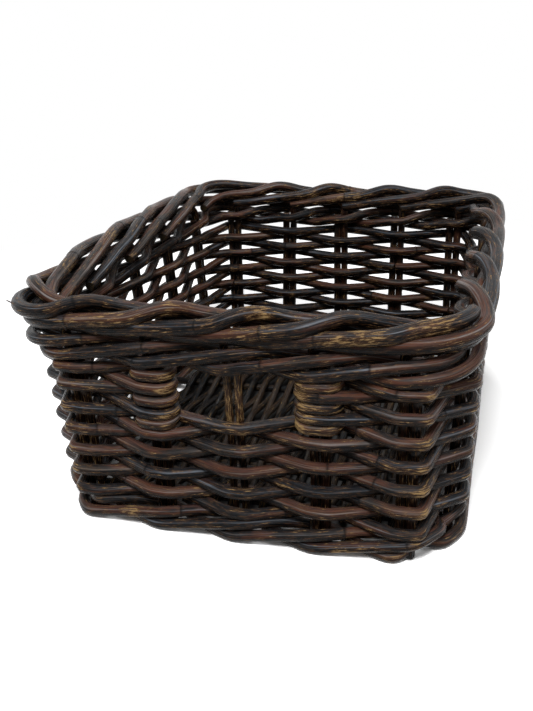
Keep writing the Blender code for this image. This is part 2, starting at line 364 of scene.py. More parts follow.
def waves(draw: random.Random, stations: np.ndarray, lengths: tuple[float, float],
          turn: float = 2 * math.pi) -> np.ndarray:
    """Sum of three waves along a cane.

    Args:
        draw: Source of the cane's own irregularities.
        stations: Distances along the cane.
        lengths: Shortest and longest wave, over a full turn.
        turn: Range that their starts are drawn from.

    Returns:
        The sum at each station, from -3 to 3.
    """
    return sum(np.sin(stations / draw.uniform(*lengths) + draw.uniform(0, turn)) for _ in range(3))


@dataclass(frozen=True)
class WornSpot:
    """Place where the stain has rubbed off whatever canes pass.

    Attributes:
        pair: Stake pair, or share of the way between two, at which it lies.
        out: Distance outside the stake line.
        height: Height above the floor.
        half: Reach along the wall, in metres.
        deep: Reach up and down and in and out.
        strength: How bare it is, from 0 to 1.
        edge: How sharply it ends.
    """

    pair: float
    out: float
    height: float
    half: float
    deep: float
    strength: float
    edge: float = 1.8

    def wear(self, wall: WallLine, spots: np.ndarray) -> np.ndarray:
        """How bare canes are at some points.

        Args:
            wall: Line that the pairs stand on.
            spots: World points, one to a row.

        Returns:
            A value from 0 to its strength for each point.
        """
        way = wall.pair_place(self.pair)
        away = spots - np.array(wall.point(way, self.out, self.height))
        outward = np.array(wall.outward(way))
        along = np.array((-outward[1], outward[0], 0.0))
        reach = np.sqrt((away @ along / self.half) ** 2 + (away @ outward / self.deep) ** 2
                        + (away[:, 2] / self.deep) ** 2)
        return self.strength * np.clip(self.edge * (1 - reach), 0, 1)


WORN_SPOTS = tuple(WornSpot(*row) for row in (
    (3.45, 0.011, 0.162, 0.034, 0.006, 0.60), (4.2, 0.008, 0.170, 0.026, 0.007, 0.62),
    (-0.1, 0.010, 0.139, 0.024, 0.006, 0.75), (1.6, 0.010, 0.126, 0.050, 0.005, 0.55),
    (0.6, 0.010, 0.010, 0.013, 0.005, 0.62), (3.6, 0.010, 0.008, 0.040, 0.006, 0.45),
    (2.0, 0.0, 0.112, 0.020, 0.034, 0.55), (2.85, 0.002, 0.111, 0.016, 0.034, 0.42),
    (3.1, 0.008, 0.094, 0.016, 0.010, 0.40), (1.1, 0.004, 0.120, 0.018, 0.008, 0.45),
    (1.15, 0.004, 0.096, 0.016, 0.008, 0.30), (4.1, 0.010, 0.058, 0.016, 0.050, 0.24),
    (0.0, 0.010, 0.075, 0.016, 0.050, 0.28), (2.5, 0.008, 0.148, 0.030, 0.006, 0.36),
    (0.8, 0.012, 0.164, 0.036, 0.006, 0.50), (1.6, 0.000, 0.171, 0.038, 0.007, 0.46),
    (2.6, 0.000, 0.171, 0.038, 0.007, 0.50), (2.2, 0.012, 0.163, 0.034, 0.006, 0.40),
    (4.3, 0.008, 0.156, 0.018, 0.007, 0.40), (16.3, 0.0, 0.172, 0.016, 0.008, 0.40),
    (6.6, -0.002, 0.170, 0.012, 0.006, 0.40), (17.5, 0.0, 0.172, 0.020, 0.010, 0.50),
    (18.6, 0.0, 0.172, 0.016, 0.010, 0.45), (8.2, 0.0, 0.172, 0.020, 0.010, 0.35),
    (12.0, -0.006, 0.165, 0.060, 0.010, 0.25)))


@dataclass(frozen=True)
class JointRing:
    """Raised ring that goes round a cane where a leaf grew, with a groove after it.

    Attributes:
        first: Nearest that it comes to the cane's start.
        clear: Nearest that it comes to the cane's end.
        spread: Least and most share of the usual step to the next one.
        mark_half: Half the width of its dark mark.
        ridge: How much thicker the cane is on it, and half that stretch.
        groove: How much thinner the cane is after it, half that stretch and its distance.
        cuts: Places of the cane's rings about it.
    """

    first: float = 0.02
    clear: float = 0.008
    spread: tuple[float, float] = (0.6, 1.4)
    mark_half: float = 0.0009
    ridge: tuple[float, float] = (0.050, 0.0010)
    groove: tuple[float, float, float] = (0.035, 0.0008, 0.0017)
    cuts: tuple[float, ...] = (-0.0022, -0.0013, -0.0006, 0, 0.0006, 0.0013, 0.0022)


JOINT = JointRing()


@dataclass
class Rings:
    """Rings of one cane in order: where each lies, how it faces and what its surface went through."""

    stations: np.ndarray
    spots: np.ndarray
    normals: np.ndarray
    acrosses: np.ndarray
    bends: np.ndarray
    scales: np.ndarray
    joints: np.ndarray
    worn: np.ndarray
    tones: np.ndarray


@dataclass
class Cane:
    """One round cane: a line to follow, a thickness and what its surface went through.

    Attributes:
        name: Name that its small irregularities are drawn from.
        line: World points about a millimetre apart.
        thickness: Across the cane, in metres.
        wall: Line that the worn places are told on, or none where nothing on it is worn.
        sides: Flats round it.
        ring_step: Distance between its rings.
        ring_gap: Least distance between its rings, and from the last to its end.
        sway: How far its line strays from the ideal one.
        sway_ease: Length over which its ends don't stray.
        sway_waves: Shortest and longest wave of its line.
        swell: Share by which its thickness varies.
        swell_waves: Shortest and longest wave of its thickness.
        joint_step: Usual distance from one joint ring to the next.
        end_round: Length over which a cut end is rubbed round.
        end_cuts: Places of the rings on that length, as shares of it.
        end_thin: Share of the thickness that is rubbed off there.
        foot_share: Share of the thickness that it has on its first stretch.
        foot_length: Length of that stretch.
        foot_ease: Length over which it then grows thicker.
        tail_share: Share of the thickness that it thins down to at its far end.
        tail_length: Length over which it thins.
        bend_wear: Bend at which the stain starts to crack off, how much more takes it off, and the most of it.
    """

    name: str
    line: np.ndarray
    thickness: float
    wall: WallLine | None = None
    sides: int = 16
    ring_step: float = 0.0028
    ring_gap: tuple[float, float] = (0.00025, 0.0002)
    sway: float = 0.00022
    sway_ease: float = 0.02
    sway_waves: tuple[float, float] = (0.008, 0.022)
    swell: float = 0.025
    swell_waves: tuple[float, float] = (0.006, 0.03)
    joint_step: float = 0.15
    end_round: float = 0.0009
    end_cuts: tuple[float, float] = (0.3, 1.0)
    end_thin: float = 0.16
    foot_share: float = 1.0
    foot_length: float = 0.0
    foot_ease: float = 0.015
    tail_share: float = 1.0
    tail_length: float = 0.09
    bend_wear: tuple[float, float, float] = (40, 170, 0.45)

    def build(self, mesh: bmesh.types.BMesh) -> None:
        """Add the cane to a mesh.

        Args:
            mesh: Mesh that gets it, with the surface layers already made.
        """
        draw = random.Random(self.name)
        along = distances(self.line)
        joints = self.joint_places(draw, along[-1])
        stations = self.stations(along[-1], joints)
        marks, tones, worn = np.zeros((3, len(stations)))
        for joint in joints:
            marks = np.maximum(marks, bell(stations, joint, JOINT.mark_half))
        for start in [-1.0] + joints:
            tones = np.where(stations >= start, draw.random(), tones)
        spots, normals, acrosses, bends = self.frames(draw, along, stations)
        for spot in WORN_SPOTS if self.wall is not None else ():
            worn = np.maximum(worn, spot.wear(self.wall, spots))
        scales = self.scales(draw, stations, joints)
        rings = Rings(stations, spots, normals, acrosses, bends, scales, marks, worn, tones)
        self.bend_blank(mesh, rings, draw.uniform(0, 40))

    def joint_places(self, draw: random.Random, length: float) -> list[float]:
        """Distances along the cane at which it has a joint ring.

        Args:
            draw: Source of the cane's own irregularities.
            length: Length of the cane.

        Returns:
            The distances, in order.
        """
        places = []
        place = draw.uniform(JOINT.first, self.joint_step)
        while place < length - JOINT.clear:
            places.append(place)
            place += self.joint_step * draw.uniform(*JOINT.spread)
        return places

    def stations(self, length: float, joints: list[float]) -> np.ndarray:
        """Distances along the cane at which it gets a ring, closer at its ends and joints.

        Args:
            length: Length of the cane.
            joints: Distances of its joint rings.

        Returns:
            The distances, from 0 to the length.
        """
        count = max(3, int(round(length / self.ring_step)) + 1)
        places = list(np.linspace(0, length, count))
        places += [joint + shift for joint in joints for shift in JOINT.cuts]
        for share in self.end_cuts:
            places += [self.end_round * share, length - self.end_round * share]
        kept = [0.0]
        for place in sorted(place for place in places if 0 < place < length):
            if place - kept[-1] > self.ring_gap[0]:
                kept.append(place)
        if length - kept[-1] < self.ring_gap[1]:
            kept.pop()
        return np.array(kept + [length])

    def frames(self, draw: random.Random, along: np.ndarray,
               stations: np.ndarray) -> tuple[np.ndarray, np.ndarray, np.ndarray, np.ndarray]:
        """Where each ring lies, which way it faces and how sharply the cane bends there.

        Args:
            draw: Source of the cane's own irregularities.
            along: Distance along the cane of each point of its line.
            stations: Distances at which rings lie.

        Returns:
            Middles of the rings, two directions across each, and the bend at each in radians to the metre.
        """
        spots = np.stack([np.interp(stations, along, column) for column in self.line.T], axis=1)
        tangents = np.gradient(spots, stations, axis=0)
        tangents /= np.linalg.norm(tangents, axis=1)[:, None]
        bends = np.gradient(tangents, stations, axis=0)
        upright = abs(tangents[0][2]) > 0.7
        normal = np.array((1.0, 0.3, 0.0) if upright else (0.0, 0.0, 1.0))
        normals = np.zeros_like(spots)
        for index, tangent in enumerate(tangents):
            normal = normal - tangent * float(normal @ tangent)
            normal /= np.linalg.norm(normal)
            normals[index] = normal
        acrosses = np.cross(tangents, normals)
        ease = np.clip(np.minimum(stations, stations[-1] - stations) / self.sway_ease, 0, 1)
        for direction in (normals, acrosses):
            stray = waves(draw, stations, self.sway_waves) / 2
            spots = spots + direction * (stray * self.sway * ease)[:, None]
        return spots, normals, acrosses, bends

    def scales(self, draw: random.Random, stations: np.ndarray, joints: list[float]) -> np.ndarray:
        """Share of the cane's thickness at each ring.

        Args:
            draw: Source of the cane's own irregularities.
            stations: Distances at which rings lie.
            joints: Distances of its joint rings.

        Returns:
            The shares, in order.
        """
        scales = 1 - self.swell / 2 + waves(draw, stations, self.swell_waves, 6.28) / 3 * self.swell
        ridge, ridge_half = JOINT.ridge
        groove, groove_half, shift = JOINT.groove
        for joint in joints:
            scales += ridge * bell(stations, joint, ridge_half)
            scales -= groove * bell(stations, joint + shift, groove_half)
        if self.foot_length > 0:
            grown = smooth((stations - self.foot_length) / self.foot_ease)
            scales *= self.foot_share + (1 - self.foot_share) * grown
        left = stations[-1] - stations
        scales *= 1 - (1 - self.tail_share) * smooth(1 - left / self.tail_length)
        edge = np.minimum(stations, left)
        return scales * (1 - self.end_thin * np.clip(1 - edge / self.end_round, 0, 1) ** 2)

    def bend_blank(self, mesh: bmesh.types.BMesh, rings: Rings, offset: float) -> None:
        """Cut a straight blank into rings and bend it along the cane's line.

        Args:
            mesh: Mesh that gets the cane.
            rings: Rings that it is cut into.
            offset: Shift of the surface pattern along the cane.
        """
        known = len(mesh.verts)
        radius = self.thickness / 2
        count = len(rings.stations)
        bmesh.ops.create_cone(mesh, cap_ends=True, cap_tris=False, segments=self.sides,
                              radius1=radius, radius2=radius, depth=2)
        mesh.verts.index_update()
        staves = [edge for edge in mesh.edges if min(vert.index for vert in edge.verts) >= known
                  and abs(edge.verts[0].co.z - edge.verts[1].co.z) > 1]
        bmesh.ops.subdivide_edges(mesh, edges=staves, cuts=count - 2, use_grid_fill=True)
        mesh.verts.index_update()
        ends = [face for face in mesh.faces
                if len(face.verts) == self.sides and min(vert.index for vert in face.verts) >= known]
        bmesh.ops.inset_region(mesh, faces=ends, thickness=radius * 0.22, depth=-0.0002)
        rest = mesh.verts.layers.float_vector["cane_rest"]
        joint, worn, cut, tone = (mesh.verts.layers.float[title] for title in SURFACE_LAYERS)
        for face in ends:
            for vert in face.verts:
                vert[cut] = 1.0
        mesh.verts.index_update()
        least, span, most = self.bend_wear
        for vert in mesh.verts:
            if vert.index < known:
                continue
            ring = min(count - 1, max(0, int(round((vert.co.z + 1) / 2 * (count - 1)))))
            x, y = vert.co.x, vert.co.y
            spoke = rings.normals[ring] * x + rings.acrosses[ring] * y
            strain = -float(spoke @ rings.bends[ring]) / radius
            vert[rest] = (x, y, float(rings.stations[ring]) + offset)
            vert[joint] = float(rings.joints[ring])
            vert[worn] = float(rings.worn[ring]) + min(most, max(0.0, (strain - least) / span))
            vert[tone] = float(rings.tones[ring])
            vert.co = Vector(rings.spots[ring] + spoke * rings.scales[ring])


def mesh_data(mesh: bmesh.types.BMesh, name: str) -> bpy.types.Mesh:
    """Finished mesh, with its bmesh freed."""
    data = bpy.data.meshes.new(name)
    mesh.to_mesh(data)
    mesh.free()
    return data


def placed(name: str, data: bpy.types.ID) -> bpy.types.Object:
    """New object in the scene."""
    made = bpy.data.objects.new(name, data)
    bpy.context.scene.collection.objects.link(made)
    return made


def dressed_piece(name: str, canes: list[Cane], finish: "CaneFinish", node: str) -> bpy.types.Object:
    """Make one piece of one or more canes and put it in place of its solid.

    Args:
        name: Name of the piece.
        canes: Canes in it.
        finish: Finish that it gets.
        node: Solid that it stands for.

    Returns:
        The piece.
    """
    mesh = bmesh.new()
    mesh.verts.layers.float_vector.new("cane_rest")
    for layer in SURFACE_LAYERS:
        mesh.verts.layers.float.new(layer)
    for cane in canes:
        cane.build(mesh)
    bmesh.ops.recalc_face_normals(mesh, faces=mesh.faces)
    data = mesh_data(mesh, name)
    data.shade_smooth()
    data.set_sharp_from_angle(angle=SHARP_ANGLE)
    data.materials.append(finish.material())
    piece = placed(name, data)
    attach(piece, "root")
    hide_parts(node)
    log.info("%s: %d canes, %d faces", name, len(canes), len(data.polygons))
    return piece


@dataclass
class Wiring:
    """Short way to place and join shader nodes in one tree."""

    tree: bpy.types.NodeTree

    def node(self, kind: str, inputs: dict | None = None, **settings: object) -> bpy.types.Node:
        """Place a node.

        Args:
            kind: Type of the node.
            inputs: Values or sockets for its inputs, by name or number.
            settings: Its own settings.

        Returns:
            The node.
        """
        made = self.tree.nodes.new(kind)
        for key, value in settings.items():
            setattr(made, key, value)
        for key, value in (inputs or {}).items():
            if isinstance(value, Socket):
                self.tree.links.new(value, made.inputs[key])
            else:
                made.inputs[key].default_value = value
        return made

    def noise(self, vector: Socket, scale: float, detail: float, rough: float) -> Socket:
        """Noise value at a vector."""
        inputs = {"Vector": vector, "Scale": scale, "Detail": detail, "Roughness": rough}
        return self.node("ShaderNodeTexNoise", inputs).outputs["Fac"]

    def streaks(self, rest: Socket, across: float, along: float, shift: float, detail: float,
                rough: float) -> Socket:
        """Noise drawn out along a cane.

        Args:
            rest: Place on the cane while it was straight.
            across: Scale of the noise across the cane.
            along: Scale of the noise along it.
            shift: Shift that sets it apart from the others.
            detail: Number of its finer layers.
            rough: Strength of those.

        Returns:
            The noise value.
        """
        place = self.node("ShaderNodeMapping", {"Vector": rest, "Scale": (across, across, along),
                                                "Location": (shift, -shift, shift)})
        return self.noise(place.outputs["Vector"], 1.0, detail, rough)

    def ramp(self, value: Socket, low: float, high: float, to: tuple[float, float] = (0.0, 1.0)) -> Socket:
        """Value from low to high, spread over another range and held there."""
        inputs = {"Value": value, "From Min": low, "From Max": high, "To Min": to[0], "To Max": to[1]}
        return self.node("ShaderNodeMapRange", inputs, interpolation_type="SMOOTHSTEP").outputs["Result"]

    def math(self, kind: str, first: object, second: object = 0.0, clamp: bool = False) -> Socket:
        """Result of one sum or comparison."""
        made = self.node("ShaderNodeMath", {0: first, 1: second}, operation=kind, use_clamp=clamp)
        return made.outputs["Value"]

    def mix(self, share: object, first: object, second: object) -> Socket:
        """Colour between two, each a socket or a plain colour."""
        ends = [(*end, 1) if isinstance(end, tuple) else end for end in (first, second)]
        return self.node("ShaderNodeMix", {0: share, 6: ends[0], 7: ends[1]}, data_type="RGBA").outputs[2]

    def attributes(self, titles: tuple[str, ...], output: str = "Fac") -> list[Socket]:
        """What some layers of the mesh hold."""
        return [self.node("ShaderNodeAttribute", attribute_name=title).outputs[output] for title in titles]

    def seen(self) -> Socket:
        """1 for what the camera sees, itself or in a shine or through glass, and 0 for what lights."""
        path = self.node("ShaderNodeLightPath").outputs
        direct = self.math("MAXIMUM", path["Is Camera Ray"], path["Is Glossy Ray"])
        return self.math("MAXIMUM", direct, path["Is Transmission Ray"])


def cleared(owner: bpy.types.Material | bpy.types.World) -> Wiring:
    """Wiring of a material's or a world's own tree, emptied."""
    owner.use_nodes = True
    owner.node_tree.nodes.clear()
    return Wiring(owner.node_tree)


def new_group(name: str, amounts: dict[str, float], outputs: tuple[str, ...]) -> tuple[Wiring, dict]:
    """Shader group that reads the place on a straight cane and some amounts.

    Args:
        name: Name of the group.
        amounts: Default value of each amount.
        outputs: Names of its value outputs.

    Returns:
        Wiring of the group's tree, and its inputs by name.
    """
    tree = bpy.data.node_groups.new(name, "ShaderNodeTree")
    tree.interface.new_socket("Rest", in_out="INPUT", socket_type="NodeSocketVector")
    for title, value in amounts.items():
        socket = tree.interface.new_socket(title, in_out="INPUT", socket_type="NodeSocketFloat")
        socket.default_value = value
    for title in outputs:
        tree.interface.new_socket(title, in_out="OUTPUT", socket_type="NodeSocketFloat")
    wire = Wiring(tree)
    given = wire.node("NodeGroupInput")
    return wire, {title: given.outputs[title] for title in ("Rest", *amounts)}


class CaneEffects:
    """Surface effects that every cane finish shares, painted shade and painted highlights among them, each a
    group that is built once.
    """

    def __init__(self) -> None:
        """Build the groups."""
        self.grain = self.build_grain()
        self.flecks = self.build_flecks()
        self.dust = self.build_dust_and_painted_light()

    def build_grain(self) -> bpy.types.NodeTree:
        """Ridges and fibres along the cane, patches of uneven stain, and the height of all.

        Returns:
            The group.
        """
        wire, given = new_group("cane grain", {}, ("Ridges", "Fibres", "Patches", "Height"))
        rest = given["Rest"]
        ridges = wire.ramp(wire.streaks(rest, 560, 8, 0.0, 2, 0.6), 0.34, 0.66)
        fibres = wire.ramp(wire.streaks(rest, 1500, 38, 3.1, 3, 0.65), 0.34, 0.66)
        patches = wire.ramp(wire.streaks(rest, 120, 21, 7.7, 3, 0.6), 0.36, 0.64)
        pits = wire.ramp(wire.streaks(rest, 800, 300, 1.3, 2, 0.5), 0.30, 0.45)
        height = 0.0
        for part, share in ((ridges, 0.60), (fibres, 0.22), (pits, 0.18)):
            height = wire.math("ADD", height, wire.math("MULTIPLY", part, share))
        wire.node("NodeGroupOutput", {"Ridges": ridges, "Fibres": fibres, "Patches": patches, "Height": height})
        return wire.tree

    def build_flecks(self) -> bpy.types.NodeTree:
        """Where the stain has rubbed or peeled off in long flecks.

        Returns:
            The group.
        """
        wire, given = new_group("cane wear", {"Worn": 0.0, "Amount": 0.5}, ("Flecks", "Rub"))
        zone = wire.ramp(wire.streaks(given["Rest"], 70, 26, 5.2, 2, 0.5), 0.40, 0.70)
        slivers = wire.streaks(given["Rest"], 1000, 125, 2.4, 4, 0.7)
        level = wire.math("ADD", wire.math("MULTIPLY", zone, given["Amount"]), given["Worn"])
        above = wire.math("ADD", slivers, wire.math("MULTIPLY", level, 0.17))
        above = wire.math("SUBTRACT", above, 0.655)
        rub = wire.math("MULTIPLY", wire.ramp(above, -0.16, 0.06), 0.7)
        wire.node("NodeGroupOutput", {"Flecks": wire.ramp(above, 0.0, 0.035), "Rub": rub})
        return wire.tree

    def build_dust_and_painted_light(self) -> bpy.types.NodeTree:
        """Pale dust with a painted bluish sheen on what faces up, painted shade on what faces down, and painted
        highlight lines on its crown.

        Returns:
            The group.
        """
        wire, given = new_group("cane dust", {"Amount": 0.5}, ("Dust", "Fade", "Polish"))
        place = wire.node("ShaderNodeTexCoord").outputs
        up = wire.node("ShaderNodeSeparateXYZ", {0: place["Normal"]}).outputs["Z"]
        cloud = wire.noise(place["Object"], 55.0, 4, 0.65)
        # Dust on what faces up, which also paints a pale bluish sheen there.
        dust = wire.math("MULTIPLY", wire.ramp(up, -0.1, 0.95), wire.ramp(cloud, 0.35, 0.68, (0.25, 1.0)))
        dust = wire.math("MULTIPLY", dust, given["Amount"], True)
        # Painted shade: 1 on what faces up, falling to 0 on what faces down, where the finish paints shade.
        unshaded = wire.ramp(wire.math("ADD", up, wire.math("MULTIPLY", cloud, 0.4)), -0.05, 0.90)
        # Painted highlight: streaked lines on the upper front of each cane, where a lamp above would make its
        # highlight.
        lines = wire.streaks(given["Rest"], 900, 11, 9.3, 3, 0.7)
        crown = wire.math("MULTIPLY", wire.ramp(up, 0.30, 0.55), wire.ramp(up, 0.64, 0.84, (1.0, 0.12)))
        polish = wire.math("MULTIPLY", wire.ramp(lines, 0.45, 0.62), crown, True)
        wire.node("NodeGroupOutput", {"Dust": dust, "Fade": unshaded, "Polish": polish})
        return wire.tree


def shaded(colour: Colour, share: float) -> Colour:
    """Colour made darker to a share of itself."""
    return tuple(value * share for value in colour)


@dataclass(frozen=True)
class CaneFinish:
    """Stained and worn finish of one kind of cane, with painted shade on what faces down and painted highlight
    lines on its upper side.

    Attributes:
        name: Name of the material.
        slot: Slot of the record that it belongs to; not used.
        effects: Groups that it shares with the others.
        dark: Stain where it is thickest.
        warm: Stain where the cane shines through.
        red: Stain in its reddish stretches.
        bare: Cane without stain.
        dust_sheen_colour: Colour of the dust on it, which also paints a bluish sheen on its upper side.
        painted_highlight_dark: Colour of the painted highlight lines on its upper side where it is dark.
        painted_highlight_brown: The same where it is brown.
        polish: How strong those painted highlight lines are, from 0 to 1.
        wear: How much of it has rubbed off, from 0 to 1.
        dust: How much dust and painted sheen its upper side has, from 0 to 1.
        gloss: Roughness where it is shiny and where it is dull.
        painted_shade_share: Share of the dark stain that is painted as shade on what faces down.
        joint_share: Share of the dark stain on a joint ring, and how far it covers the rest.
        cut_share: Share of the bare colour on a cut end.
        rub_shares: Shares of the red and the bare colour where it is half rubbed off.
        specular: Level of its clear shine.
        bump: Strength and depth of its grain.
    """

    name: str
    slot: str
    effects: CaneEffects
    dark: Colour = (0.0030, 0.0034, 0.0042)
    warm: Colour = (0.034, 0.0275, 0.0238)
    red: Colour = (0.138, 0.047, 0.025)
    bare: Colour = (0.380, 0.245, 0.105)
    # Colour of the dust with its painted sheen, then the colours of the painted highlight lines.
    dust_sheen_colour: Colour = (0.042, 0.046, 0.054)
    painted_highlight_dark: Colour = (0.232, 0.276, 0.335)
    painted_highlight_brown: Colour = (0.345, 0.262, 0.190)
    polish: float = 0.75
    wear: float = 0.30
    dust: float = 0.35
    gloss: tuple[float, float] = (0.16, 0.38)
    # Share of the dark stain used for the painted shade on what faces down.
    painted_shade_share: float = 0.4
    joint_share: tuple[float, float] = (0.5, 0.8)
    cut_share: float = 0.14
    rub_shares: tuple[float, float] = (0.55, 0.22)
    specular: float = 0.07
    bump: tuple[float, float] = (0.9, 0.0005)

    def material(self) -> bpy.types.Material:
        """The finish's material, built the first time it is asked for."""
        made = bpy.data.materials.get(self.name)
        return made if made is not None else self.build()

    def build(self) -> bpy.types.Material:
        """Wire the material.

        Returns:
            The new material.
        """
        material = bpy.data.materials.new(self.name)
        wire = cleared(material)
        rest, = wire.attributes(("cane_rest",), "Vector")
        joint, worn, cut, tone = wire.attributes(SURFACE_LAYERS)
        grain, wear, dust = (
            wire.node("ShaderNodeGroup", {"Rest": rest, **given}, node_tree=tree).outputs for tree, given in (
                (self.effects.grain, {}), (self.effects.flecks, {"Worn": worn, "Amount": self.wear}),
                (self.effects.dust, {"Amount": self.dust})))
        warmth = wire.math("MULTIPLY", wire.ramp(grain["Ridges"], 0.0, 1.0, (0.10, 1.0)),
                           wire.ramp(tone, 0.25, 0.75, (0.05, 1.0)))
        redness = wire.math("MULTIPLY", wire.ramp(wire.math("ADD", grain["Patches"], tone), 0.95, 1.40),
                            wire.ramp(grain["Fibres"], 0.0, 1.0, (0.25, 1.0)))
        colour = wire.mix(redness, wire.mix(warmth, self.dark, self.warm), self.red)
        # Painted shade: what faces down darkens towards a share of the dark stain.
        colour = wire.mix(dust["Fade"], shaded(self.dark, self.painted_shade_share), colour)
        # Dust, which also paints a pale bluish sheen, on what faces up.
        colour = wire.mix(dust["Dust"], colour, self.dust_sheen_colour)
        # Painted highlight: pale lines on the upper side, bluish on dark cane and golden on brown cane, with
        # their strength in shine.
        painted_highlight_colour = wire.mix(wire.math("MULTIPLY", tone, 0.8), self.painted_highlight_dark, self.painted_highlight_brown)
        shine = wire.ramp(grain["Patches"], 0.0, 1.0, (self.polish * 0.45, self.polish))
        colour = wire.mix(wire.math("MULTIPLY", dust["Polish"], shine), colour, painted_highlight_colour)
        red_share, bare_share = self.rub_shares
        rubbed = tuple(red * red_share + bare * bare_share for red, bare in zip(self.red, self.bare))
        colour = wire.mix(wear["Rub"], colour, rubbed)
        colour = wire.mix(wear["Flecks"], colour, self.bare)
        joint_share, cover = self.joint_share
        colour = wire.mix(wire.math("MULTIPLY", joint, cover), colour, shaded(self.dark, joint_share))
        ends = wire.mix(grain["Fibres"], self.dark, shaded(self.bare, self.cut_share))
        rough = wire.ramp(grain["Fibres"], 0.0, 1.0, self.gloss)
        rough = wire.math("ADD", rough, wire.math("MULTIPLY", wear["Flecks"], 0.2), True)
        strength, depth = self.bump
        bump = wire.node("ShaderNodeBump", {"Height": grain["Height"], "Strength": strength, "Distance": depth})
        shader = wire.node("ShaderNodeBsdfPrincipled", {
            "Base Color": wire.mix(cut, colour, ends), "Roughness": rough, "Normal": bump.outputs["Normal"],
            "Specular IOR Level": self.specular})
        wire.node("ShaderNodeOutputMaterial", {"Surface": shader.outputs["BSDF"]})
        return material


class Course(Enum):
    """Courses of a border strand.

    Each place is told by the pairs passed, then the distance outside the stake line and the height over the
    border's lowest strand, in tenths of a millimetre.
    """

    USUAL = (
        (0.33, 46, -2), (0.5, 60, 3), (0.7, 78, 14), (0.9, 94, 30), (1.0, 102, 38), (1.2, 112, 56),
        (1.5, 120, 80), (1.7, 119, 93), (1.85, 111, 106), (1.95, 98, 122), (2.05, 77, 141), (2.15, 48, 156),
        (2.25, 16, 160), (2.35, -20, 152), (2.45, -52, 134), (2.6, -82, 108), (2.8, -96, 91),
        (3.0, -101, 79), (3.2, -102, 62), (3.45, -100, 36), (3.7, -98, 10), (3.92, -96, -10))
    HIGH = (
        (0.33, 46, -2), (0.5, 66, 7), (0.7, 96, 26), (0.9, 120, 50), (1.05, 136, 74), (1.2, 140, 98),
        (1.4, 132, 114), (1.6, 120, 124), (1.8, 106, 134), (1.95, 90, 145), (2.1, 64, 158), (2.25, 34, 165),
        (2.4, 8, 163), (2.6, -18, 154), (2.8, -42, 140), (3.1, -70, 114), (3.4, -92, 84), (3.7, -103, 50),
        (3.92, -106, 20), (4.15, -106, -14), (4.4, -104, -46))
    KNOB = (*USUAL[:10], (2.05, 80, 140), (2.2, 62, 150), (2.45, 44, 152), (2.62, 36, 146))


# Strands that take another course than the usual one, and how many pairs the early ones pass, by pair.
COURSES = {2: Course.KNOB, **dict.fromkeys(range(12, 17), Course.HIGH)}
EARLY_ENDS: dict[int, float] = {3: 2.56, 4: 2.50, 5: 2.53}


